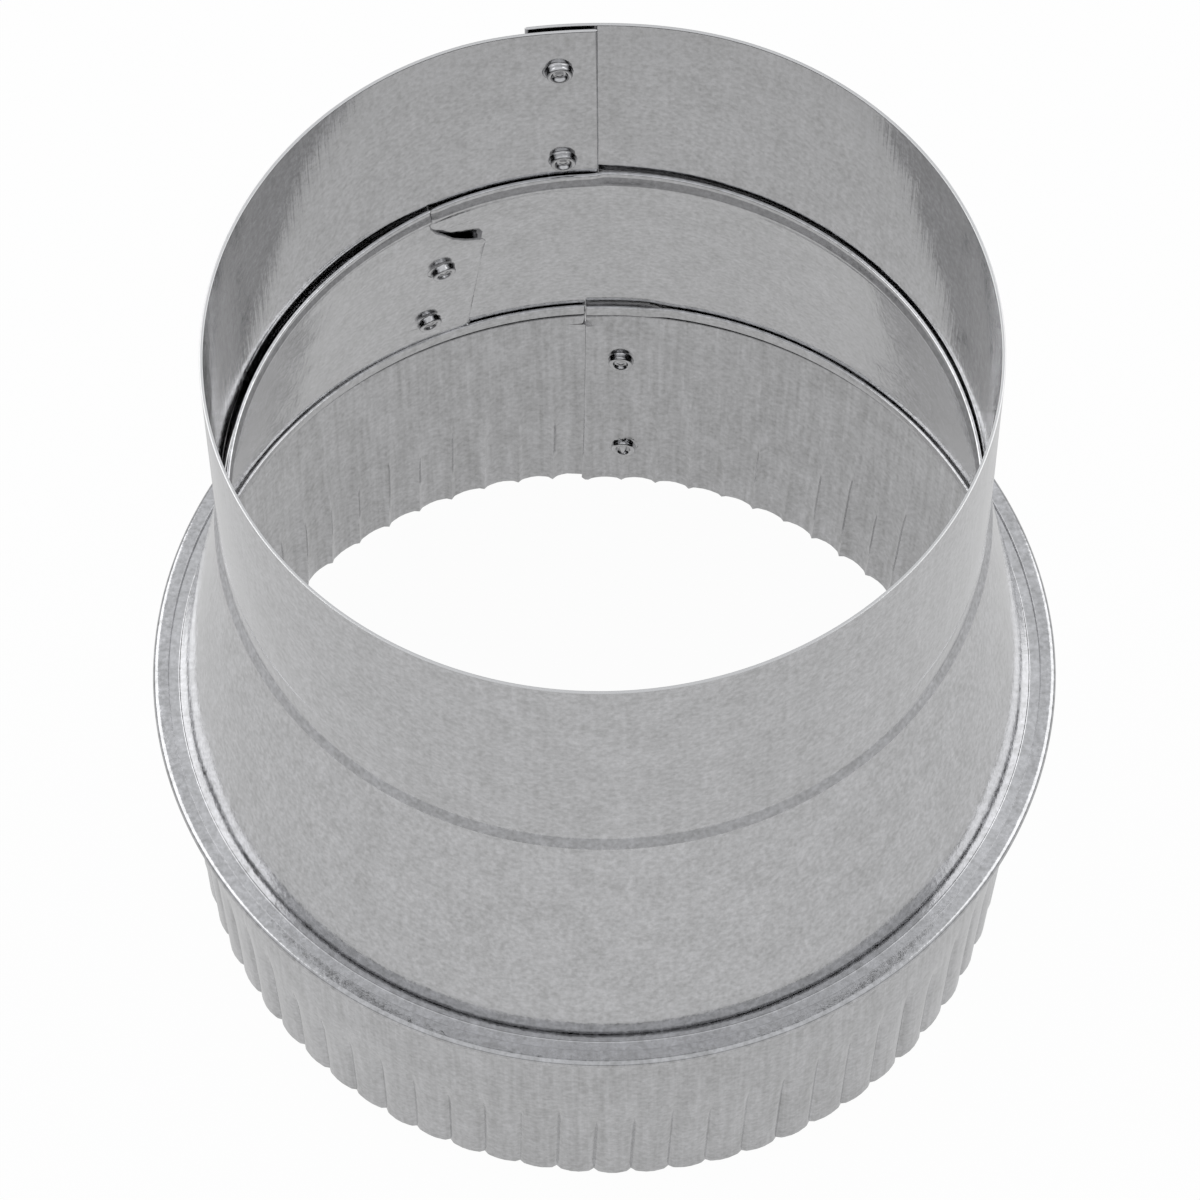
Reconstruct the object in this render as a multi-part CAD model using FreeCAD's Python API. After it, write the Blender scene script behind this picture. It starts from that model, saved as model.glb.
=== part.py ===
import FreeCAD, Part
import os
from math import asin, atan, cos, degrees, radians, sin, sqrt, tan

# Round duct reducer, millimetres. The duct axis is Z and the crimped edge stands on z = 0.
# Angles are in degrees about the axis; 90 is the back, where the three lap seams lie.

# Sheet and fits: lapGap between the layers of a lap seam, seamGap between two pieces, buttGap
# at a rolled sheet's end; ledge is the small step where two lengths of one wall meet
sheet = 0.6
lapGap = 0.1
seamGap = 0.1
buttGap = 0.3
ledge = 0.03

# A bend is made of straight steps, each turning by about this much
bendStep = 45.0

# Main sizes
smallBoreRadius = 63.5
totalHeight = 155.0
neckBendHeight = 107.0
rimHeight = 54.6
rimRadius = 78.9

# Small collar: its lower end flares onto the taper
lipDrop = 3.2

# Taper: a neck with one bead, a cone and a flat flange
neckTop = 112.9
neckBead = 0.5
neckBeadHeight = 110.2
coneFootRadius = 74.3
footBend = 1.2
flangeFit = 0.2

# Crimped collar
hemWidth = 2.8
wallRadius = 74.3
fluteTop = 31.0
fluteFull = 17.0
fluteCount = 69
fluteDepth = 1.15
stepsPerFlute = 4
fluteNotchAngle = -91.1
crestRadiusAtEdge = 72.7

# Lap seams: the inner layer's free edge and the outer layer's end
smallInnerEdge = 90.4
smallOuterEnd = 101.3
smallRunOut = 60.0
taperInnerEdgeFoot = 109.6
taperInnerEdgeHead = 108.2
taperOuterEnd = 121.3
taperNeckJoint = 117.7
taperCornerHeight = 96.3
taperKneeAngle = 113.1
taperKneeHeight = 99.1
taperRunIn = 45.0
taperLapStep = 0.9
crimpInnerEdge = 92.3
crimpOuterEnd = 81.9
crimpRunIn = 20.0
crimpLapStep = 0.85
lapBand = 3.0

# Clinched buttons, standing inward on the inner layer, as (angle, height)
buttonRadius = 2.35
buttonHeight = 1.3
dishRadius = 1.4
dishDepth = 0.45
punchRadius = 1.5
punchCover = 0.4
smallButtons = ((96.4, 142.4), (95.9, 117.9))
taperButtons = ((114.6, 86.5), (115.6, 65.2))
crimpButtons = ((87.3, 38.7), (86.9, 8.8))

bandTop = neckBendHeight - 0.5
layerStep = sheet + lapGap
foldPitch = sheet + seamGap
neckMiddle = smallBoreRadius - seamGap - sheet / 2.0
coneSlope = atan((coneFootRadius - sheet / 2.0 - neckMiddle) / (neckBendHeight - rimHeight))


def polar(radius, angle, z):
    turn = radians(angle)
    return FreeCAD.Vector(radius * cos(turn), radius * sin(turn), z)


def cutBack(point, way, across, offset):
    """Where a path's end is cut: level on a steep run, square on a flat one."""
    end = point + across * offset
    if abs(way.z) > 0.5:
        end -= way * (across.z * offset / way.z)
    return end


def bendPoints(point, first, second, radius, offset):
    """A bend on the line that runs offset beside the path, in short straight steps."""
    across = FreeCAD.Vector(-first.z, 0, first.x)
    turn = first.getAngle(second)
    side = 1.0 if across.dot(second) > 0 else -1.0
    if radius == 0:
        return [point + (across - first * (side * tan(turn / 2.0))) * offset]
    toCentre = across * side
    centre = point - first * (radius * tan(turn / 2.0)) + toCentre * radius
    reach = radius - offset * side
    steps = max(1, round(degrees(turn) / (bendStep if reach > sheet else 2.0 * bendStep)))
    angles = [turn * k / steps for k in range(steps + 1)]
    return [centre - toCentre * (reach * cos(q)) + first * (reach * sin(q)) for q in angles]


def sidePoints(corners, offset):
    """Points of the sheet's face on one side of its path."""
    points = [FreeCAD.Vector(r, 0, z) for r, z, radius in corners]
    ways = [(b - a).normalize() for a, b in zip(points, points[1:])]
    beside = [FreeCAD.Vector(-way.z, 0, way.x) for way in ways]
    line = [cutBack(points[0], ways[0], beside[0], offset)]
    for index in range(1, len(points) - 1):
        turn = bendPoints(points[index], ways[index - 1], ways[index], corners[index][2], offset)
        line += [p for p in turn if (p - line[-1]).Length > 1e-6]
    return line + [cutBack(points[-1], ways[-1], beside[-1], offset)]


def sheetSection(corners):
    """Sheet in section: a path of corners (r, z, bend radius) thickened both ways."""
    outline = sidePoints(corners, -sheet / 2.0) + sidePoints(corners, sheet / 2.0)[::-1]
    return Part.Face(Part.makePolygon(outline + [outline[0]]))


def rolled(corners, start, end, axis=FreeCAD.Vector(0, 0, 0)):
    """The path's section at the start angle, swept by the rest of the turn about an axis."""
    face = sheetSection(corners)
    face.rotate(FreeCAD.Vector(0, 0, 0), FreeCAD.Vector(0, 0, 1), start)
    return face.revolve(axis, FreeCAD.Vector(0, 0, 1), end - start)


def ringWire(cuts, radiusAt, z, thickness):
    """Closed outline at height z of a rolled strip, in one arc between each two cuts."""
    sides = []
    for offset in (-thickness / 2.0, thickness / 2.0):
        runs = []
        for a, b in zip(cuts, cuts[1:]):
            through = [polar(radiusAt(q) + offset, q, z) for q in (a, (a + b) / 2.0, b)]
            runs.append(Part.Arc(*through).toShape())
        sides.append(runs)
    inner, outer = sides
    tips = []
    for angle in (cuts[0], cuts[-1]):
        reach = radiusAt(angle)
        tips.append(Part.makeLine(
            polar(reach - thickness / 2.0, angle, z), polar(reach + thickness / 2.0, angle, z)))
    return Part.Wire(inner + [tips[1]] + outer[::-1] + [tips[0]])


def rolledWall(levels, cuts, thickness):
    """Wall ruled between the outlines at the levels (z, radiusAt)."""
    wires = [ringWire(cuts, radiusAt, z, thickness) for z, radiusAt in levels]
    return Part.makeLoft(wires, True, True)


def evenCuts(start, end, most):
    count = int((end - start) / most) + 1
    return [start + (end - start) * k / count for k in range(count + 1)]


def joined(pieces):
    return pieces[0].fuse(pieces[1:]).Solids[0]


def clinchButton(angle, height, radius, lean):
    """A clinched button and the punch hollow behind it; radius is the inner layer's inside."""
    root = -(layerStep + sheet * 0.7)
    outline = [
        (0.0, root), (buttonRadius, root), (buttonRadius, buttonHeight),
        (dishRadius, buttonHeight), (dishRadius, buttonHeight - dishDepth),
        (0.0, buttonHeight - dishDepth)]
    hollowTop = buttonHeight - dishDepth - punchCover
    hollow = [
        (0.0, root - 2.0 * sheet), (punchRadius, root - 2.0 * sheet),
        (punchRadius, hollowTop), (0.0, hollowTop)]
    placed = []
    for points in (outline, hollow):
        corners = [FreeCAD.Vector(x, 0, y) for x, y in points]
        face = Part.Face(Part.makePolygon(corners + [corners[0]]))
        solid = face.revolve(FreeCAD.Vector(0, 0, 0), FreeCAD.Vector(0, 0, 1), 360)
        turn = radians(angle)
        inward = FreeCAD.Vector(-cos(turn) * cos(lean), -sin(turn) * cos(lean), -sin(lean))
        turned = FreeCAD.Rotation(FreeCAD.Vector(0, 0, 1), inward)
        solid.Placement = FreeCAD.Placement(polar(radius, angle, height), turned)
        placed.append(solid)
    return placed


def withButtons(solid, buttons, insideAt, lean):
    for angle, height in buttons:
        button, hollow = clinchButton(angle, height, insideAt(angle, height), lean)
        solid = solid.fuse(button).cut(hollow).Solids[0]
    return solid


def setOver(run, most, radius):
    """How far inside its circle an arc lies whose centre is set over by enough to reach most."""
    aside = most / (1.0 - cos(radians(run)))

    def inside(away):
        turn = radians(max(0.0, away))
        arc = sqrt((radius - aside) ** 2 - (aside * sin(turn)) ** 2)
        return radius - aside * cos(turn) - arc

    return inside


def smallCollar():
    middle = smallBoreRadius + sheet / 2.0
    corners = [
        (middle, totalHeight, 0),
        (middle, neckBendHeight, 0),
        (middle + lipDrop * tan(coneSlope), neckBendHeight - lipDrop, 0)]
    # Near its end the outer layer leaves the circle, on an arc whose centre is set over.
    leave = smallInnerEdge + 360.0 - smallRunOut
    main = rolled(corners, smallInnerEdge, leave)
    aside = layerStep / (1.0 - cos(radians(smallRunOut - 2.0)))
    run = smallOuterEnd + 360.0 - leave
    run += degrees(asin(aside * sin(radians(run)) / middle))
    outer = rolled(corners, leave, leave + run, polar(-aside, leave, 0))
    return withButtons(
        joined([main, outer]), smallButtons, lambda angle, z: smallBoreRadius, 0.0)


def coneRadius(z):
    """Middle of the taper's sheet at height z, measured level."""
    return neckMiddle + (neckBendHeight - z) * tan(coneSlope)


def cornerTool(foot):
    """What the inner layer loses: beside its slanted edge, and its corner below the neck."""
    outline = [
        (taperInnerEdgeFoot - 8.0, foot - 1.0), (taperInnerEdgeFoot, foot - 1.0),
        (taperInnerEdgeFoot, foot), (taperInnerEdgeHead, taperCornerHeight),
        (taperKneeAngle, taperKneeHeight), (taperNeckJoint, bandTop),
        (taperNeckJoint, bandTop + 1.0), (taperInnerEdgeFoot - 8.0, bandTop + 1.0)]
    wires = []
    for radius in (smallBoreRadius - 10.0, rimRadius + 10.0):
        points = [polar(radius, angle, z) for angle, z in outline]
        wires.append(Part.makePolygon(points + [points[0]]))
    return Part.makeLoft(wires, True, True)


def taper():
    flangeEnd = rimRadius - sheet - foldPitch - flangeFit
    wallFoot = rimHeight + footBend + sheet
    lapTop = neckBendHeight - lapBand
    lapFoot = wallFoot + lapBand
    thickness = sheet / cos(coneSlope)
    bandThickness = thickness - 2.0 * ledge
    neck = [(neckMiddle, neckTop, 0), (neckMiddle - neckBead, neckBeadHeight, 0)]
    foot = [(coneRadius(rimHeight), rimHeight, footBend), (flangeEnd, rimHeight, 0)]
    bendCorner = [(neckMiddle, neckBendHeight, 0)]
    innerRun = taperInnerEdgeHead + taperRunIn
    foldEnd = taperInnerEdgeFoot + 360.0 - buttGap
    neckEnd = taperNeckJoint + 360.0 - buttGap
    body = rolled(neck + bendCorner + foot, innerRun, foldEnd)
    shoulder = rolled(neck + bendCorner + [(coneRadius(lapTop), lapTop, 0)], foldEnd, neckEnd)
    tab = rolled(
        [(coneRadius(lapTop), lapTop, 0), (coneRadius(lapFoot), lapFoot, 0)],
        foldEnd, taperOuterEnd + 360.0)
    neckStart = rolled(
        neck + bendCorner + [(coneRadius(bandTop), bandTop, 0)], taperNeckJoint, innerRun)
    footStart = rolled(
        [(coneRadius(wallFoot), wallFoot, 0)] + foot, taperInnerEdgeFoot, innerRun)

    # The inner layer stands inward of the outer one, on arcs whose centre is set over.
    aside = taperLapStep / (1.0 - cos(radians(taperRunIn)))
    inner = rolled(
        [(coneRadius(lapTop), lapTop, 0), (coneRadius(lapFoot), lapFoot, 0)],
        innerRun, taperInnerEdgeHead - 3.0, polar(aside, innerRun, 0))

    def level(z, most):
        inward = setOver(taperRunIn, most, coneRadius(z)) if most else lambda away: 0.0
        return z, lambda angle: coneRadius(z) - inward(innerRun - angle)

    cuts = [taperInnerEdgeHead - 0.5, (taperInnerEdgeHead + innerRun) / 2.0, innerRun]
    pieces = [
        inner,
        rolledWall([level(bandTop, 0.0), level(lapTop, taperLapStep)], cuts, bandThickness),
        rolledWall([level(lapFoot, taperLapStep), level(wallFoot, 0.0)], cuts, bandThickness)]
    pieces = [piece.cut(cornerTool(wallFoot)) for piece in pieces]
    solid = joined([body, neckStart, footStart, shoulder, tab] + pieces)

    def insideAt(angle, z):
        inward = setOver(taperRunIn, taperLapStep, coneRadius(z))
        return coneRadius(z) - inward(innerRun - angle) - thickness / 2.0

    return withButtons(solid, taperButtons, insideAt, coneSlope)


def flutedRadius(angle, z, depth):
    """Middle of the wall: round crests with sharp notches, narrowing towards the edge."""
    phase = radians((angle - fluteNotchAngle) * fluteCount / 2.0)
    narrow = (wallRadius - crestRadiusAtEdge) * max(0.0, 1.0 - z / fluteTop)
    return wallRadius - sheet / 2.0 - narrow - depth * (1.0 - abs(sin(phase)))


def fluteCuts(start, end):
    """The angles of notches, crests and mid slopes between two ends, and the ends."""
    pitch = 360.0 / fluteCount / stepsPerFlute
    first = int((start - fluteNotchAngle) / pitch) - 1
    last = int((end - fluteNotchAngle) / pitch) + 1
    places = [fluteNotchAngle + pitch * k for k in range(first, last + 1)]
    margin = pitch * 0.3
    return [start] + [q for q in places if start + margin < q < end - margin] + [end]


def flutedWall(start, end, standOff):
    """The crimped length of the wall, its facets meeting at notches, crests and mid slopes."""
    cuts = fluteCuts(start, end)
    sides = []
    for offset in (-sheet / 2.0, sheet / 2.0):
        atHead = offset * (1.0 - 2.0 * ledge / sheet)
        rows = []
        for z, depth, beside in (
                (fluteTop, 0.0, atHead), (fluteFull, fluteDepth, offset), (0.0, fluteDepth, offset)):
            rows.append([
                polar(flutedRadius(q, z, depth) - standOff(q) + beside, q, z) for q in cuts])
        sides.append(rows)
    faces = []
    for rows in sides:
        for upper, lower in zip(rows, rows[1:]):
            for a, b, c, d in zip(upper, upper[1:], lower[1:], lower):
                faces += facets(a, b, c, d)
    inner, outer = sides
    for upper, lower in ((0, 1), (1, 2)):
        for k in (0, -1):
            faces += facets(inner[upper][k], outer[upper][k], outer[lower][k], inner[lower][k])
    for level in (0, 2):
        rim = inner[level] + outer[level][::-1]
        faces.append(Part.Face(Part.makePolygon(rim + [rim[0]])))
    shell = Part.makeShell(faces)
    shell.sewShape()
    solid = Part.makeSolid(shell)
    if solid.Volume < 0:
        solid.reverse()
    return solid


def facets(a, b, c, d):
    """The four-sided patch a, b, c, d as two flat triangles."""
    return [Part.Face(Part.makePolygon([a, b, c, a])), Part.Face(Part.makePolygon([a, c, d, a]))]


def crimpedCollar():
    middle = wallRadius - sheet / 2.0
    low = rimHeight - foldPitch
    hem = rimHeight + foldPitch
    fold = rimRadius - sheet / 2.0
    wallHead = low - footBend - sheet
    lapHead = wallHead - lapBand
    innerRun = crimpInnerEdge - crimpRunIn
    foldEnd = crimpInnerEdge - 360.0 + buttGap
    outerEnd = crimpOuterEnd - 360.0
    path = [
        (rimRadius - hemWidth, hem, 0),
        (fold, hem, foldPitch),
        (fold, low, foldPitch),
        (middle, low, footBend)]
    standOff = setOver(crimpRunIn, crimpLapStep, middle)

    def inward(angle):
        return standOff(angle - innerRun)

    def flush(angle):
        return 0.0

    def level(z, shift):
        return z, lambda angle: middle - shift(angle)

    wallFoot = fluteTop + lapBand
    body = rolled(path + [(middle, wallFoot, 0)], foldEnd, innerRun)
    bodyFoot = rolledWall(
        [level(wallFoot, flush), level(fluteTop, flush)],
        evenCuts(foldEnd, innerRun, 15.0), sheet)
    rimStart = rolled(path + [(middle, wallHead, 0)], innerRun, crimpInnerEdge)
    inner = rolledWall(
        [level(wallHead, flush), level(lapHead, inward), level(fluteTop, inward)],
        evenCuts(innerRun, crimpInnerEdge, 20.0), sheet)
    # The tab is in two lengths, with the seam's upper button in the lower one.
    overButton = crimpButtons[0][1] + 1.4 * buttonRadius
    tab = rolled(
        [(middle, lapHead, 0), (middle, overButton, 0), (middle, fluteTop, 0)],
        outerEnd, foldEnd)
    crimped = flutedWall(outerEnd, innerRun, flush)
    crimpedStart = flutedWall(innerRun, crimpInnerEdge, inward)
    solid = joined([body, bodyFoot, rimStart, inner, tab, crimped, crimpedStart])

    def insideAt(angle, z):
        depth = fluteDepth * 0.5 if z < fluteFull else 0.0
        return flutedRadius(angle, z, depth) - inward(angle) - sheet / 2.0

    return withButtons(solid, crimpButtons, insideAt, 0.0)


os.makedirs("parts", exist_ok=True)
for name, make in (
        ("small_collar", smallCollar), ("taper", taper), ("crimped_collar", crimpedCollar)):
    shape = make()
    print(name, shape.ShapeType, shape.isValid(), round(shape.Volume, 1), len(shape.Faces))
    shape.exportStep("parts/" + name + ".step")
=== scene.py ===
import bpy
import numpy as np
from mathutils import Matrix


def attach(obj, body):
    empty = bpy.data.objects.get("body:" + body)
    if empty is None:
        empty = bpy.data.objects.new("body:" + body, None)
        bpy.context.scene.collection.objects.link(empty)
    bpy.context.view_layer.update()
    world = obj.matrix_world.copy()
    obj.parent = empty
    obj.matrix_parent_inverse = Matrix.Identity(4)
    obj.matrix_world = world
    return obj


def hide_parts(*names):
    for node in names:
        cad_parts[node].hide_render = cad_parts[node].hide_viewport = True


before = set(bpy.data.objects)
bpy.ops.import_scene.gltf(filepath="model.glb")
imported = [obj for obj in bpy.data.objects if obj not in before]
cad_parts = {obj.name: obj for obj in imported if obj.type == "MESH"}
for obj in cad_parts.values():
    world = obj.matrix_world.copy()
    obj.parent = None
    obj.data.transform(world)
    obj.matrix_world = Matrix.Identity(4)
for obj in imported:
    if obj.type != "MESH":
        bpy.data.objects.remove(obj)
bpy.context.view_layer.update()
print("frame loaded")

# Lengths are millimetres, and angles are degrees about the duct's axis, until a mesh is made.
# The lap seams stand at 90 degrees, which is the back.

shared = {
    "sheet": 0.6,
    "edgeRound": 0.15,       # rounding of the cut edges
    "endZone": 4.0,          # how far round each free end the columns stand close
    "buttonZone": 2.4,       # how far round a button rows and columns stand close, mm and degrees
    "rimHeight": 54.6,
    "neckBend": 107.0,
    "foldPitch": 0.7,        # from the flange's middle to that of each layer folded over it
    "crimpOval": 0.0154,     # the crimped edge is a little out of round
    "crimpOvalAt": -45.6,
    "crimpAside": -1.1,
}


def makeMesh(name, points, faces, node, material, sharp=None):
    mesh = bpy.data.meshes.new(name)
    mesh.from_pydata((points * 0.001).tolist(), [], faces)
    mesh.shade_smooth()
    if sharp is not None:
        mesh.set_sharp_from_angle(angle=np.radians(sharp))
    mesh.materials.append(material)
    piece = bpy.data.objects.new(name, mesh)
    bpy.context.scene.collection.objects.link(piece)
    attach(piece, "root")
    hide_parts(node)
    return piece


# Rises smoothly from 0 at x = a to 1 at x = b: k * k * (3 - 2k), with k the share of the way.
def smooth(x, a, b):
    k = np.clip((x - a) / (b - a), 0, 1)
    return k * k * (3 - 2 * k)


# A path through corners (r, z, bend radius): arcs at the bends, rows up to a distance apart
# on the straight runs, and one more row close to each end of a run to hold it straight.
def pathThrough(corners, apart, chords=6):
    line = [np.array(corners[0][:2], float)]
    for before, here, after in zip(corners, corners[1:], corners[2:]):
        corner, radius = np.array(here[:2], float), here[2]
        a, b = np.array(before[:2]) - corner, np.array(after[:2]) - corner
        a, b = a / np.hypot(*a), b / np.hypot(*b)
        turn = np.pi - np.arccos(np.clip(a @ b, -1, 1))
        centre = corner + (a + b) / np.hypot(*(a + b)) * radius / np.cos(turn / 2)
        reach = radius * np.tan(turn / 2)
        first, last = corner + a * reach - centre, corner + b * reach - centre
        k = np.linspace(0, 1, chords + 1)[:, None]
        arc = centre + (np.sin((1 - k) * turn) * first + np.sin(k * turn) * last) / np.sin(turn)
        line += straight(line[-1], arc[0], apart) + list(arc)
    end = np.array(corners[-1][:2], float)
    return np.array(line + straight(line[-1], end, apart) + [end])


def straight(a, b, apart):
    length = np.hypot(*(b - a))
    hold = min(0.15, length * 0.2)
    inner = np.linspace(hold, length - hold, max(2, int(length / apart) + 1))
    return [a + (b - a) * s / length for s in inner]


# A path's rows from the top down, with the radius at each new height read off the path.
def withRows(path, heights):
    radii = np.interp(heights, path[::-1, 1], path[::-1, 0])
    rows = np.vstack([path, np.stack([radii, heights], 1)])
    return rows[np.argsort(-rows[:, 1], kind="stable")]


# More rows round the buttons' heights, and more columns round their angles.
def rowsRound(path, heights, step):
    near = np.arange(-shared["buttonZone"], shared["buttonZone"] + 0.01, step)
    wanted = np.round(np.concatenate([height + near for height in heights]), 3)
    return withRows(path, np.setdiff1d(wanted, path[:, 1]))


def columnsRound(columns, angles, step):
    near = np.arange(-shared["buttonZone"], shared["buttonZone"] + 0.01, step)
    more = [angle + turn + near for angle in angles for turn in (0.0, 360.0)]
    return np.sort(np.concatenate([columns] + more))


# Two rows close together at each height where a sheet's end steps.
def rowsPaired(path, heights, apart=0.08):
    return withRows(path, np.concatenate([[h + apart / 2, h - apart / 2] for h in heights]))


# The sheet's two faces along a path: its own line moved half the thickness to either side,
# with two more rows at each cut edge, so that the edge is rounded.
def sectionRound(path, thick, edge):
    way = np.gradient(path, axis=0)
    way /= np.hypot(way[:, 0], way[:, 1])[:, None]
    side = np.stack([-way[:, 1], way[:, 0]], 1)
    flat = path.copy()
    flat[0] += way[0] * edge
    flat[-1] -= way[-1] * edge
    half = thick / 2

    def face(sign):
        body = flat + side * half * sign
        top = path[0] + side[0] * sign * (half - edge)
        tail = path[-1] + side[-1] * sign * (half - edge)
        topMid = (body[0] + top) / 2 + (side[0] * sign - way[0]) * edge * 0.2
        tailMid = (body[-1] + tail) / 2 + (side[-1] * sign + way[-1]) * edge * 0.2
        return np.vstack([top, topMid, body, tailMid, tail])

    return face(1.0), face(-1.0)


# The angle of every point, row by row: close columns at the free ends, which may differ from
# row to row, and the same columns for all rows between them.
def columnAngles(starts, ends, columns):
    near, far = starts.max() + shared["endZone"], ends.min() - shared["endZone"]
    if np.ndim(columns):
        body = columns[(columns > near + 0.1) & (columns < far - 0.1)]
        body = np.concatenate([[near], body, [far]])
    else:
        body = np.linspace(near, far, int((far - near) / columns) + 2)
    close = np.array([0.0, 0.03, 0.07, 0.13])
    k = np.concatenate([close, np.linspace(0.25, 0.75, 5), 1 - close[::-1]])
    lead = starts[:, None] + (near - starts[:, None]) * k[:-1]
    tail = far + (ends[:, None] - far) * k[1:]
    return np.hstack([lead, np.broadcast_to(body, (len(starts), len(body))), tail])


# A rolled sheet: its section at every column, between a start and an end angle for each row.
# columns is a spacing or a list of angles, added(angle, height) gives the radius to add,
# thin takes a share of the thickness off the first face, after changes the points of a face,
# and a way of -1 winds the sheet the other way round.
def rolledSheet(name, path, starts, ends, columns, added, node, material, after=None, thin=None, way=1.0):
    a, b = sectionRound(path, shared["sheet"], shared["edgeRound"])
    if thin is not None:
        a = a + (b - a) * np.pad(thin, 2, mode="edge")[:, None]
    rows = len(a)
    starts = np.pad(np.broadcast_to(starts, len(path)).astype(float), 2, mode="edge")
    ends = np.pad(np.broadcast_to(ends, len(path)).astype(float), 2, mode="edge")
    angle = columnAngles(starts, ends, columns)
    # both faces come together a little at the free ends, as a sheared edge does
    ease = np.zeros(angle.shape[1])
    ease[[0, 1, 2]] = ease[[-1, -2, -3]] = 0.45, 0.2, 0.05
    sides = []
    for section, other in ((a, b), (b, a)):
        z = np.broadcast_to(section[:, 1:2], angle.shape)
        r = section[:, 0:1] + (other[:, 0:1] - section[:, 0:1]) * ease + added(angle, z)
        turn = np.radians(angle) * way
        grid = np.stack([r * np.cos(turn), r * np.sin(turn), z], 2)
        sides.append(grid if after is None else after(grid))
    loop = np.concatenate([sides[0], sides[1][::-1]], 0)
    points = loop.reshape(-1, 3)
    index = np.arange(len(points)).reshape(loop.shape[:2])
    faces = sheetFaces(index, rows)
    if signedVolume(points, faces) < 0:
        faces = faces[:, ::-1]
    return makeMesh(name, points, faces.tolist(), node, material, 35.0)


# Quads round the section and along the sheet, and a strip of quads across each free end.
def sheetFaces(index, rows):
    down = np.roll(index, -1, 0)
    faces = [np.stack([index[:, :-1], index[:, 1:], down[:, 1:], down[:, :-1]], 2).reshape(-1, 4)]
    i = np.arange(rows - 1)
    last = len(index) - 1
    for column, order in ((0, 1), (-1, -1)):
        c = index[:, column]
        faces.append(np.stack([c[i], c[i + 1], c[last - 1 - i], c[last - i]], 1)[:, ::order])
    return np.vstack(faces)


# Sum of p0 . (p1 x p2 + p2 x p3) over the quads: positive where they face outward.
def signedVolume(points, faces):
    p = points[faces]
    return np.einsum("ij,ij->", p[:, 0], np.cross(p[:, 1], p[:, 2]) + np.cross(p[:, 2], p[:, 3]))


# How far an arc whose centre is set over has left its circle, after `away` degrees of `run`.
def setOver(away, run, most):
    return most * (1 - np.cos(np.radians(np.clip(away, 0, None)))) / (1 - np.cos(np.radians(run)))


# Clinched button: pressed from both layers of a lap, with a dished top and a round hollow behind
button = {
    "radius": 2.3,
    "height": 1.25,
    "hollow": 0.45,
    "hollowRadius": (1.5, 2.2),
    "turns": 48,
    "backReach": 0.9,        # how far its closed foot stands back into the sheet
}


# The punch leaves a shallow round hollow on the outside at every button of a piece.
def punched(angle, z, radius, piece):
    full, none = button["hollowRadius"]
    total = 0.0
    for where, height in piece["buttons"]:
        away = np.radians(np.mod(angle - where + 180.0, 360.0) - 180.0) * radius
        total = total - button["hollow"] * smooth(np.hypot(away, z - height), none, full)
    return total


# A profile (distance from the button's middle, height over the sheet) turned about the line
# that points at the duct's axis, tipped by `lean` to stand square on a cone.
def clinchButton(name, angle, height, radius, lean, node, material):
    w, h, turns = button["radius"], button["height"], button["turns"]
    profile = np.array([
        (w + 0.75, -0.9), (w + 0.55, -0.12), (w + 0.25, -0.02), (w + 0.04, 0.16), (w - 0.04, 0.45),
        (w - 0.08, 0.75 * h), (w - 0.22, 0.92 * h), (w - 0.48, h), (w - 0.78, 0.96 * h),
        (w - 0.98, 0.8 * h), (w - 1.1, 0.6 * h), (w - 1.25, 0.5 * h), (w - 1.55, 0.5 * h),
        (w - 1.8, 0.6 * h), (w - 2.1, 0.64 * h), (0.12, 0.64 * h)])
    phi = np.linspace(0, 2 * np.pi, turns, endpoint=False)
    place = np.radians(angle)
    out = np.array([np.cos(place) * np.cos(lean), np.sin(place) * np.cos(lean), np.sin(lean)])
    across = np.array([-np.sin(place), np.cos(place), 0])
    up = np.cross(out, across)
    centre = np.array([radius * np.cos(place), radius * np.sin(place), height])
    rho = profile[:, 0:1] * (1 + 0.03 * np.cos(2 * phi - place))  # a little out of round
    spokes = across * np.cos(phi)[:, None] + up * np.sin(phi)[:, None]
    grid = centre + rho[..., None] * spokes - out * profile[:, 1][:, None, None]
    # the rows near the sheet follow its round wall
    sag = (rho * np.cos(phi)) ** 2 / (2 * radius)
    grid = grid - out * (sag * smooth(profile[:, 1:2], 0.5, 0.0))[..., None]
    middle = centre - out * 0.64 * h
    points = np.vstack([grid.reshape(-1, 3), middle, centre + out * button["backReach"]])
    index = np.arange(len(profile) * turns).reshape(len(profile), turns)
    after = np.roll(index, -1, 1)
    faces = np.stack([index[:-1], after[:-1], after[1:], index[1:]], 2).reshape(-1, 4).tolist()
    top, foot = np.full(turns, len(points) - 2), np.full(turns, len(points) - 1)
    faces += np.stack([index[-1], after[-1], top], 1).tolist()
    faces += np.stack([after[0], index[0], foot], 1).tolist()
    return makeMesh(name, points, faces, node, material)


# Short forms for building a node tree
def nodeTools(tree):
    def node(kind, **values):
        made = tree.nodes.new(kind)
        for key, value in values.items():
            if key in made.inputs:
                made.inputs[key].default_value = value
            else:
                setattr(made, key, value)
        return made

    def join(a, b):
        tree.links.new(a, b)

    def math(kind, a, b):
        made = node("ShaderNodeMath", operation=kind)
        for socket, value in zip(made.inputs, (a, b)):
            if isinstance(value, float):
                socket.default_value = value
            else:
                join(value, socket)
        return made.outputs[0]

    def mapped(value, low, high, outLow, outHigh, shape="LINEAR"):
        made = node("ShaderNodeMapRange", interpolation_type=shape)
        numbers = {"From Min": low, "From Max": high, "To Min": outLow, "To Max": outHigh}
        for name, number in numbers.items():
            made.inputs[name].default_value = number
        join(value, made.inputs["Value"])
        return made.outputs["Result"]

    return node, join, math, mapped


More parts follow.
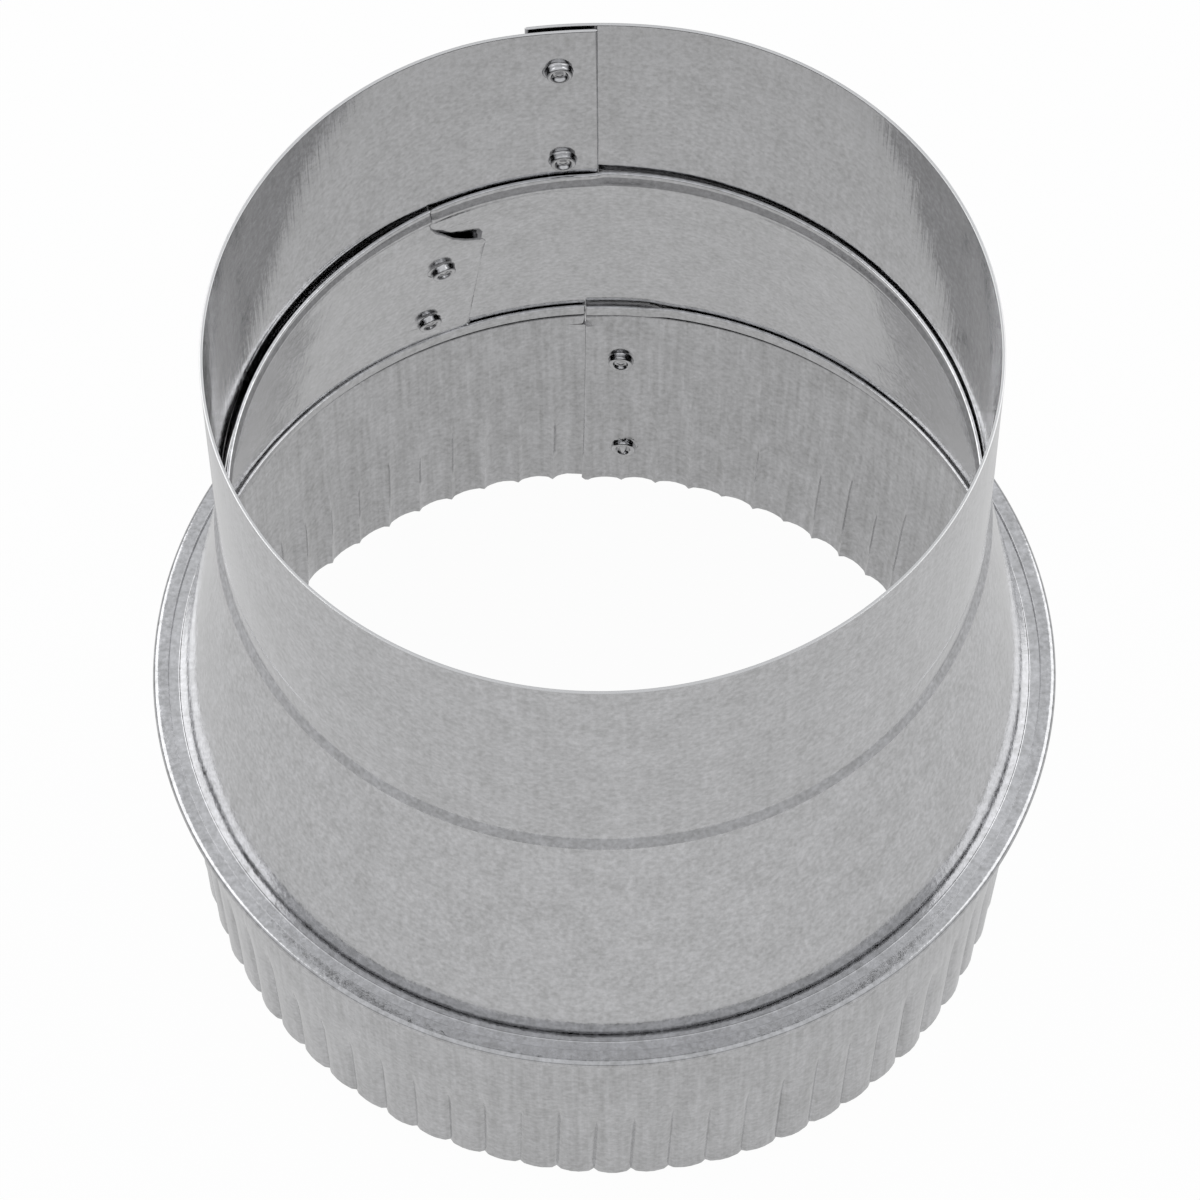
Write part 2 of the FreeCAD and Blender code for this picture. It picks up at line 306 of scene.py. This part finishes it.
# Galvanised sheet: fine zinc speckle over slow mottle, faint drawn streaks, low waves
zinc = {
    "light": (0.73, 0.73, 0.745),
    "dark": (0.44, 0.44, 0.44),
    "roughness": (0.08, 0.15),
    "speckle": 1100.0,
    "mottle": 160.0,
    "streak": 900.0,
    "streakDraw": 0.03,      # scale along the duct, which draws the streaks out
    "wave": 30.0,
    "bumps": (0.009, 0.5, 0.03),  # height in mm of the speckle, wave and streak
    # the cut edge's colour: uncoated steel, lightened in part as a painted highlight
    "bareAndPaintedHighlightTone": 0.66,
    "bareRoughness": 0.3,
    "scuffRoughness": 0.7,
}


def galvanised(name, shade=1.0, bareAndPaintedHighlightAbove=None, scuffed=None, grain=0.08):
    material = bpy.data.materials.new(name)
    material.use_nodes = True
    tree = material.node_tree
    tree.nodes.clear()
    node, join, math, mapped = nodeTools(tree)
    place = node("ShaderNodeTexCoord").outputs["Object"]

    def noise(at, scale, detail, rough):
        made = node("ShaderNodeTexNoise", Scale=scale, Detail=detail, Roughness=rough)
        join(at, made.inputs["Vector"])
        return made.outputs["Fac"]

    stretch = node("ShaderNodeMapping")
    stretch.inputs["Scale"].default_value = (1.0, 1.0, zinc["streakDraw"])
    join(place, stretch.inputs["Vector"])
    speckle = noise(place, zinc["speckle"], 2.0, 0.6)
    mottle = noise(place, zinc["mottle"], 4.0, 0.6)
    wave = noise(place, zinc["wave"], 2.0, 0.5)
    streak = noise(stretch.outputs["Vector"], zinc["streak"], 3.0, 0.6)

    tone = math("ADD", mapped(speckle, 0.3, 0.7, -0.3, 0.3), mapped(mottle, 0.3, 0.7, 0.36, 0.64))
    tone = math("ADD", tone, mapped(streak, 0.3, 0.7, -grain, grain))
    mix = node("ShaderNodeMix", data_type="RGBA")
    mix.inputs["A"].default_value = [c * shade for c in zinc["dark"]] + [1.0]
    mix.inputs["B"].default_value = [c * shade for c in zinc["light"]] + [1.0]
    join(tone, mix.inputs["Factor"])
    colour = mix.outputs["Result"]
    low, high = zinc["roughness"]
    rough = math("ADD", mapped(mottle, 0.35, 0.65, low, high), mapped(speckle, 0.3, 0.7, -0.05, 0.05))
    axes = node("ShaderNodeSeparateXYZ")
    join(place, axes.inputs[0])
    if scuffed is not None:
        # the rolling tool has left this band dull
        foot, head = scuffed
        band = mapped(axes.outputs["Z"], foot - 0.0002, foot, 0.0, zinc["scuffRoughness"])
        band = math("MULTIPLY", band, mapped(axes.outputs["Z"], head, head + 0.0002, 1.0, 0.0))
        rough = math("MAXIMUM", rough, band)
    if bareAndPaintedHighlightAbove is not None:
        # the cut edge is uncoated steel and a little rough, and its lighter colour is partly a painted
        # highlight along the top edge
        bareAndPaintedHighlight = mapped(axes.outputs["Z"], bareAndPaintedHighlightAbove - 0.00003, bareAndPaintedHighlightAbove, 0.0, 1.0)
        edge = node("ShaderNodeMix", data_type="RGBA")
        edge.inputs["B"].default_value = [zinc["bareAndPaintedHighlightTone"]] * 3 + [1.0]
        join(colour, edge.inputs["A"])
        join(bareAndPaintedHighlight, edge.inputs["Factor"])
        colour = edge.outputs["Result"]
        rough = math("MAXIMUM", rough, math("MULTIPLY", bareAndPaintedHighlight, zinc["bareRoughness"]))

    height = None
    for field, most in zip((speckle, wave, streak), zinc["bumps"]):
        part = mapped(field, 0.0, 1.0, 0.0, most)
        height = part if height is None else math("ADD", height, part)
    bump = node("ShaderNodeBump", Strength=1.0, Distance=0.001)
    join(height, bump.inputs["Height"])
    surface = node("ShaderNodeBsdfPrincipled")
    surface.inputs["Metallic"].default_value = 1.0
    join(colour, surface.inputs["Base Color"])
    join(rough, surface.inputs["Roughness"])
    join(bump.outputs["Normal"], surface.inputs["Normal"])
    output = node("ShaderNodeOutputMaterial")
    join(surface.outputs["BSDF"], output.inputs["Surface"])
    return material


# Heights in metres: the small collar's cut edge, and the band that the rolling tool ran on
# the small collar's cut edge is lightened in part as a painted highlight
collarZinc = galvanised("galvanisedCollar", 1.0, 0.15491, (0.1055, 0.1081))
taperZinc = galvanised("galvanisedTaper", 1.03)
crimpZinc = galvanised("galvanisedCrimps", 0.94, grain=0.22)
print("materials made")


# Small collar: a plain rolled wall whose lower end flares onto the taper
small = {
    "radius": 63.8,          # of the sheet's middle
    "top": 155.0,
    "bend": 108.2,
    "bendRadius": 0.5,
    "lipDrop": 2.3,
    "flare": 1.05,
    "lipThinning": 0.4,
    "crease": 113.6,
    "creaseDepth": 0.05,
    "creaseHalf": 0.8,
    "creaseBend": 0.4,
    "innerEdge": 90.4,
    "outerEnd": 101.3,
    "runOut": 60.0,
    "lapStep": 0.7,
    "ovalBy": 0.15,
    "ovalAt": 45.4,
    "ovalZone": (105.0, 150.0),
    "mouthFlat": 1.45,       # the mouth is a little flat at the seam
    "flatAt": 92.0,
    "flatSpread": 24.0,
    "flatZone": (108.0, 150.0),
    "endLean": 0.5,          # and the inner end leans in
    "leanFrom": (112.0, 92.0),
    "leanZone": (116.0, 150.0),
    "rowStep": 4.0,
    "columnStep": 1.2,
    "buttonStep": 0.3,
    "buttons": ((96.4, 144.4), (95.9, 116.9)),
}


def smallAdded(angle, z):
    leave = small["innerEdge"] + 360.0 - small["runOut"]
    lap = setOver(angle - leave, small["runOut"] - 2.0, small["lapStep"])
    twice = 2 * np.radians(angle - small["ovalAt"])
    oval = small["ovalBy"] * np.cos(twice) * smooth(z, *small["ovalZone"])
    away = (np.mod(angle, 360.0) - small["flatAt"]) / small["flatSpread"]
    flat = np.exp(-away ** 2) * smooth(z, *small["flatZone"])
    lean = smooth(angle, *small["leanFrom"]) * smooth(z, *small["leanZone"])
    hollow = punched(angle, z, small["radius"], small)
    return lap + oval - small["mouthFlat"] * flat - small["endLean"] * lean + hollow


def buildSmall():
    radius, crease, bend = small["radius"], small["crease"], small["bend"]
    foot, half, soft = bend - small["lipDrop"], small["creaseHalf"], small["creaseBend"]
    path = pathThrough([
        (radius, small["top"], 0),
        (radius, crease + half, soft),
        (radius - small["creaseDepth"], crease, soft),
        (radius, crease - half, soft),
        (radius, bend, small["bendRadius"]),
        (radius + small["flare"], foot, 0)], small["rowStep"], 4)
    path = rowsRound(path, [height for _, height in small["buttons"]], small["buttonStep"])
    columns = np.arange(91.0, 460.0, small["columnStep"])
    columns = columnsRound(columns, [angle for angle, _ in small["buttons"]], small["buttonStep"])
    thin = small["lipThinning"] * smooth(path[:, 1], bend - 0.6, foot)
    rolledSheet("small_collar_wall", path, small["innerEdge"], small["outerEnd"] + 360.0, columns,
                smallAdded, "small_collar", collarZinc, thin=thin)
    for number, (angle, height) in enumerate(small["buttons"], 1):
        # from the sheet's inner face, without the punch's hollow
        face = radius - shared["sheet"] / 2 + button["hollow"] + float(smallAdded(angle, height))
        clinchButton("small_collar_button_%d" % number, angle, height, face, 0.0,
                     "small_collar", collarZinc)


# Taper: a neck with one bead, a cone and a flat flange
taper = {
    "coneTopRadius": 63.1,
    "neckRadius": 63.0,
    "neckTop": 112.3,
    "neckBead": 0.45,
    "beadHeight": 109.6,
    "neckFoot": 108.0,
    "ridgeDrop": 1.1,        # from the neck's top to its upper ridge
    "ridgeOut": 0.12,
    "footOut": 0.07,
    "neckBends": (0.5, 0.8, 0.6),
    "footRadius": 74.0,
    "footBend": 0.5,
    "flangeEnd": 77.4,
    "middleRadius": 69.0,    # by which the punch's hollows are laid out
    "edgeFoot": 109.6,       # the inner edge's angle at the foot of the cone
    "edgeHead": 108.2,       # and under the cut corner
    "edgeFootHeight": 57.2,
    "cornerHeight": 96.3,
    "kneeAngle": 113.1,
    "kneeHeight": 99.1,
    "neckJoint": 117.7,
    "tabEnd": 121.3,
    "tabHeights": (59.75, 103.75),
    "runIn": 45.0,
    "lapStep": 0.9,
    "cornerLift": 0.45,      # the cut corner stands a little further off
    "neckApart": 0.55,       # the neck stands off the small collar at the left
    "neckClear": 0.12,
    "neckFollow": 0.6,       # how much of the small collar's lap the neck follows
    "flatEdge": 0.7,         # rows this close over the flange are left as they are
    "jointGap": 0.04,        # degrees left open where the neck closes
    "flangeGap": 0.3,        # and where the flange closes
    "rowStep": 1.6,
    "columnStep": 1.2,
    "buttonStep": 0.3,
    "buttons": ((115.0, 88.2), (116.1, 66.9)),
}


def coneRadius(z):
    share = (shared["neckBend"] - z) / (shared["neckBend"] - shared["rimHeight"])
    return taper["coneTopRadius"] + (taper["footRadius"] - taper["coneTopRadius"]) * share


def taperLap(angle, z):
    away = taper["edgeHead"] + taper["runIn"] - angle
    lift = setOver(away, taper["runIn"], taper["lapStep"])
    within = smooth(z, shared["neckBend"] - 0.5, shared["neckBend"] - 3.5) * smooth(z, 56.4, 59.4)
    corner = smooth(angle, 119.0, 109.0) * smooth(z, 88.0, 97.0) * smooth(z, 107.0, 101.0)
    return -(lift + taper["cornerLift"] * corner) * within


def taperAdded(angle, z):
    turn = angle % 360.0
    apart = taper["neckApart"] * smooth(turn, 112.0, 135.0) * smooth(turn, 225.0, 190.0)
    # the neck follows the outer layer of the small collar out, up to its seam
    away = turn - (small["innerEdge"] - small["runOut"])
    follow = taper["neckFollow"] * setOver(away, small["runOut"] - 2.0, small["lapStep"])
    follow = follow * smooth(turn, 91.5, 89.5)
    neck = (follow - apart - taper["neckClear"]) * smooth(z, 107.5, 111.0)
    hollow = punched(angle, z, taper["middleRadius"], taper)
    return taperLap(angle, z) * (angle < 200.0) + neck + hollow


def buildTaper():
    neck, rim = taper["neckRadius"], shared["rimHeight"]
    ridge, bead, foot = taper["neckBends"]
    path = pathThrough([
        (neck, taper["neckTop"], 0),
        (neck + taper["ridgeOut"], taper["neckTop"] - taper["ridgeDrop"], ridge),
        (neck - taper["neckBead"], taper["beadHeight"], bead),
        (neck + taper["footOut"], taper["neckFoot"], foot),
        (coneRadius(rim), rim, taper["footBend"]),
        (taper["flangeEnd"], rim, 0)], taper["rowStep"])
    low, high = taper["tabHeights"]
    cone = path[:, 1] > rim + taper["flatEdge"]
    wall = rowsRound(path[cone], [height for _, height in taper["buttons"]], taper["buttonStep"])
    path = np.vstack([rowsPaired(wall, (low, high)), path[~cone]])
    columns = np.arange(110.0, 480.0, taper["columnStep"])
    columns = columnsRound(columns, [angle for angle, _ in taper["buttons"]], taper["buttonStep"])
    z = path[:, 1]
    heights = [taper["edgeFootHeight"], taper["cornerHeight"], taper["kneeHeight"], shared["neckBend"] - 0.5]
    edge = [taper["edgeFoot"], taper["edgeHead"], taper["kneeAngle"], taper["neckJoint"]]
    starts = np.interp(z, heights, edge)
    # between the flange and the neck, the outer end runs on past the inner edge as the lap
    ends = np.where(z < high, taper["tabEnd"], taper["neckJoint"] - taper["jointGap"])
    ends = np.where(z < low, taper["edgeFoot"] - taper["flangeGap"], ends) + 360.0
    rolledSheet("taper_wall", path, starts, ends, columns, taperAdded, "taper", taperZinc)
    slope = np.arctan((taper["footRadius"] - taper["coneTopRadius"]) / (shared["neckBend"] - rim))
    for number, (angle, height) in enumerate(taper["buttons"], 1):
        face = coneRadius(height) - shared["sheet"] / 2 / np.cos(slope)
        face += float(taperLap(np.array(angle), np.array(height)))
        clinchButton("taper_button_%d" % number, angle, height, face, slope, "taper", taperZinc)


# Crimped collar: a hem folded over the taper's flange, a plain wall and the crimps
crimp = {
    "rimRadius": 78.9,       # of the fold's outer face
    "hemWidth": 2.8,
    "hemTilt": 0.1,
    "hemBends": (0.8, 0.98),  # upper and lower, as shares of the fold's pitch
    "wallRadius": 74.0,      # of the sheet's middle
    "bend": 2.4,
    "neck": ((72.7, 57.7), (73.2, 54.45)),
    "neckLean": 0.35,        # the short neck stands a little further off at the seam
    "fluteTop": 31.0,
    "fluteFull": 19.0,
    "fluteCount": 69,
    "fluteDepth": 1.05,
    "fold": (0.32, 0.12),    # the sharp fold's share of the depth, and its half width
    "valley": 0.52,          # the round valley's share
    "fluteSeed": 5,
    "depthRange": (0.75, 1.2),
    "startRange": (-4.0, 4.5),
    "crownRange": (-0.12, 0.12),
    "notchAt": -91.1,
    "narrowing": 1.1,
    "innerEdge": 92.3,
    "outerEnd": 81.9,
    "outerEndTop": 50.0,
    "ringGap": 0.04,         # degrees left open where the hem and the neck close
    "runIn": 20.0,
    "lapStep": 0.85,
    "rollLines": ((45.5, 0.05, 0.5), (42.5, 0.04, 0.4)),  # height, depth and width
    "rowStep": 2.4,
    "buttonRowStep": 0.6,
    "buttonColumnStep": 0.4,
    "columnShares": (-0.4, -0.2, -0.12, -0.06, 0.0, 0.06, 0.12, 0.2, 0.4),
    "buttons": ((87.3, 38.7), (86.9, 10.8)),
}


# Each crimp has a sharp fold, share (1 - away / half width), in a round valley, share (1 - |sin|).
def flutes(angle, z):
    draw = np.random.default_rng(crimp["fluteSeed"])
    count = crimp["fluteCount"]
    depth = draw.uniform(*crimp["depthRange"], count)
    start = draw.uniform(*crimp["startRange"], count)
    crown = draw.uniform(*crimp["crownRange"], count)
    phase = (angle - crimp["notchAt"]) * count / 360.0
    slot = np.floor(phase).astype(int) % count
    within = phase - np.floor(phase)
    crest = np.abs(np.sin(np.pi * within))
    nearest = (slot + np.where(within > 0.5, 1, 0)) % count
    head = crimp["fluteTop"] + start[nearest]
    grow = smooth(z, head, crimp["fluteFull"] + start[nearest] * 0.5)
    away = np.minimum(within, 1.0 - within)
    share, half = crimp["fold"]
    fold = share * np.clip(1.0 - away / half, 0, 1) + crimp["valley"] * (1.0 - crest)
    inward = crimp["fluteDepth"] * depth[nearest] * grow * fold
    narrow = crimp["narrowing"] * np.clip(1.0 - z / crimp["fluteTop"], 0, 1)
    return crown[slot] * grow * crest - inward - narrow


# Columns close together at every crimp and wider between them.
def crimpColumns():
    crimps = np.arange(-40, crimp["fluteCount"] + 40)[:, None] + np.array(crimp["columnShares"])
    return crimps.ravel() * 360.0 / crimp["fluteCount"] - crimp["notchAt"]


# This sheet is wound the other way, so its angles come in as negatives.
def crimpAdded(angle, z):
    turn = -angle
    away = crimp["runIn"] - (crimp["innerEdge"] - turn)
    lift = setOver(away, crimp["runIn"], crimp["lapStep"]) * (angle < 0) * smooth(z, 52.1, 49.1)
    lines = sum(deep * np.exp(-((z - at) / wide) ** 2) for at, deep, wide in crimp["rollLines"])
    hollow = punched(turn, z, crimp["wallRadius"], crimp)
    return flutes(turn, z) - lift - lines + hollow


def neckAdded(angle, z):
    return -crimp["neckLean"] * smooth(angle, -80.0, -84.0) - 0.12 * smooth(z, 55.5, 57.4)


# Below 50 mm the wall grows out of round and aside, the more the lower: ((50 - z) / 50) ^ 1.5.
def outOfRound(grid):
    x, y, z = grid[..., 0], grid[..., 1], grid[..., 2]
    amount = np.clip((50.0 - z) / 50.0, 0, 1) ** 1.5
    twice = 2 * (np.arctan2(y, x) - np.radians(shared["crimpOvalAt"]))
    scale = 1 + shared["crimpOval"] * np.cos(twice) * amount
    return np.stack([x * scale + shared["crimpAside"] * amount, y * scale, z], -1)


# The collar's short neck stands inside the taper's foot.
def buildCrimpedNeck():
    top, foot = (np.array(end) for end in crimp["neck"])
    path = np.array([top] + straight(top, foot, 1.0) + [foot])
    start = -crimp["innerEdge"]
    rolledSheet("crimped_neck", path, start, start - 0.05 + 360.0, 1.2, neckAdded, "crimped_collar",
                crimpZinc, way=-1.0)


def buildCrimped():
    pitch, rim, wall = shared["foldPitch"], crimp["rimRadius"], crimp["wallRadius"]
    hem, low = shared["rimHeight"] + pitch, shared["rimHeight"] - pitch
    fold = rim - shared["sheet"] / 2
    upper, lower = crimp["hemBends"]
    path = pathThrough([
        (rim - crimp["hemWidth"], hem, 0),
        (fold, hem - crimp["hemTilt"], pitch * upper),
        (fold, low, pitch * lower),
        (wall, low, crimp["bend"]),
        (wall, 0.0, 0)], crimp["rowStep"], 5)
    below = path[:, 1] < crimp["outerEndTop"] + 1.0
    rows = rowsRound(path[below], [height for _, height in crimp["buttons"]], crimp["buttonRowStep"])
    path = np.vstack([path[~below], rowsPaired(rows, [crimp["outerEndTop"]])])
    angles = [-angle for angle, _ in crimp["buttons"]]
    columns = columnsRound(crimpColumns(), angles, crimp["buttonColumnStep"])
    start = -crimp["innerEdge"]
    closed = start - crimp["ringGap"]
    ends = np.where(path[:, 1] < crimp["outerEndTop"], -crimp["outerEnd"], closed) + 360.0
    rolledSheet("crimped_wall", path, start, ends, columns, crimpAdded, "crimped_collar", crimpZinc,
                after=outOfRound, way=-1.0)
    buildCrimpedNeck()
    for number, (angle, height) in enumerate(crimp["buttons"], 1):
        # where the crimps carry the sheet in, the button goes with it by nine tenths
        moved = float(crimpAdded(np.array(-angle), np.array(height))) + button["hollow"]
        face = wall - shared["sheet"] / 2 + moved * 0.9
        clinchButton("crimped_button_%d" % number, angle, height, face, 0.0, "crimped_collar", crimpZinc)


buildSmall()
buildTaper()
buildCrimped()
print("sheets built")


# Studio: a plain pale floor that turns white to the camera, soft lamps and an even sky
studioLook = {
    "floorSize": 8.0,
    "floorTone": 0.69,
    "glossyFloor": 0.8,      # how much of the floor's own tone metal shows, without shade
    "cameraFloor": 0.97,
    "skyColour": (0.8, 0.81, 0.83, 1.0),
    "sky": 0.95,
    "horizon": 0.45,
    "lampSize": 1.6,
    "lampTarget": (0.0, 0.0, 0.08),
    "lamps": {"keyLamp": ((-1.3, 0.6, 1.3), 9.0), "fillLamp": ((1.35, 0.6, 1.3), 8.0)},
}


def floor():
    half = studioLook["floorSize"] / 2
    mesh = bpy.data.meshes.new("floor")
    corners = [(-half, -half, 0), (half, -half, 0), (half, half, 0), (-half, half, 0)]
    mesh.from_pydata(corners, [], [(0, 1, 2, 3)])
    sheet = bpy.data.objects.new("floor", mesh)
    bpy.context.scene.collection.objects.link(sheet)
    sheet.location.z = -0.0005
    mesh.materials.append(floorPaint())


def floorPaint():
    material = bpy.data.materials.new("floorPaint")
    material.use_nodes = True
    tree = material.node_tree
    node, join, math, _ = nodeTools(tree)
    tone = [studioLook["floorTone"]] * 3 + [1.0]
    paint = tree.nodes["Principled BSDF"]
    paint.inputs["Roughness"].default_value = 0.9
    paint.inputs["Base Color"].default_value = tone
    light = node("ShaderNodeLightPath").outputs
    glow = node("ShaderNodeEmission", Color=tone)
    white = node("ShaderNodeEmission", Color=(1, 1, 1, 1))

    def blend(share, first, second):
        made = node("ShaderNodeMixShader")
        join(share, made.inputs["Fac"])
        join(first.outputs[0], made.inputs[1])
        join(second.outputs[0], made.inputs[2])
        return made

    reflected = blend(math("MULTIPLY", light["Is Glossy Ray"], studioLook["glossyFloor"]), paint, glow)
    seen = blend(math("MULTIPLY", light["Is Camera Ray"], studioLook["cameraFloor"]), reflected, white)
    join(seen.outputs[0], tree.nodes["Material Output"].inputs["Surface"])
    return material


# The room is darker near the horizon than overhead.
def sky():
    world = bpy.data.worlds.new("sky")
    bpy.context.scene.world = world
    world.use_nodes = True
    node, join, _, mapped = nodeTools(world.node_tree)
    way = node("ShaderNodeSeparateXYZ")
    join(node("ShaderNodeTexCoord").outputs["Generated"], way.inputs[0])
    level = mapped(way.outputs["Z"], 0.05, 0.5, studioLook["horizon"], 1.0, "SMOOTHSTEP")
    mix = node("ShaderNodeMix", data_type="RGBA")
    mix.inputs["A"].default_value = (0, 0, 0, 1)
    mix.inputs["B"].default_value = studioLook["skyColour"]
    join(level, mix.inputs["Factor"])
    background = world.node_tree.nodes["Background"]
    join(mix.outputs["Result"], background.inputs["Color"])
    background.inputs["Strength"].default_value = studioLook["sky"]


def lamp(name, place, watts):
    light = bpy.data.lights.new(name, "AREA")
    light.shape = "RECTANGLE"
    light.size = light.size_y = studioLook["lampSize"]
    light.energy = watts
    thing = bpy.data.objects.new(name, light)
    bpy.context.scene.collection.objects.link(thing)
    aim(thing, np.array(place), np.array(studioLook["lampTarget"]))


# Turns an object at a place so that its -Z looks at a target, rolled about that line.
def aim(thing, place, target, roll=0.0):
    back = (place - target) / np.linalg.norm(place - target)
    right = np.cross((0, 0, 1), back)
    right = right / np.linalg.norm(right)
    up = np.cross(back, right)
    turn = np.radians(roll)
    x = right * np.cos(turn) + up * np.sin(turn)
    y = up * np.cos(turn) - right * np.sin(turn)
    matrix = Matrix.Identity(4)
    for row in range(3):
        matrix[row][:] = x[row], y[row], back[row], place[row]
    thing.matrix_world = matrix


# Camera at the photograph's viewing angle, in metres
view = {
    "place": (-0.000673, -0.471445, 0.869286),
    "target": (-0.000673, 0.0, 0.075216),
    "roll": -0.403,
    "lens": 161.39,
    "sensor": 36.0,
}


def camera():
    data = bpy.data.cameras.new("camera")
    data.lens = view["lens"]
    data.sensor_width = view["sensor"]
    thing = bpy.data.objects.new("camera", data)
    bpy.context.scene.collection.objects.link(thing)
    aim(thing, np.array(view["place"]), np.array(view["target"]), view["roll"])
    bpy.context.scene.camera = thing


floor()
sky()
for lampName, (lampPlace, lampWatts) in studioLook["lamps"].items():
    lamp(lampName, lampPlace, lampWatts)
camera()
bpy.context.scene.view_settings.view_transform = "Standard"
print("studio set")
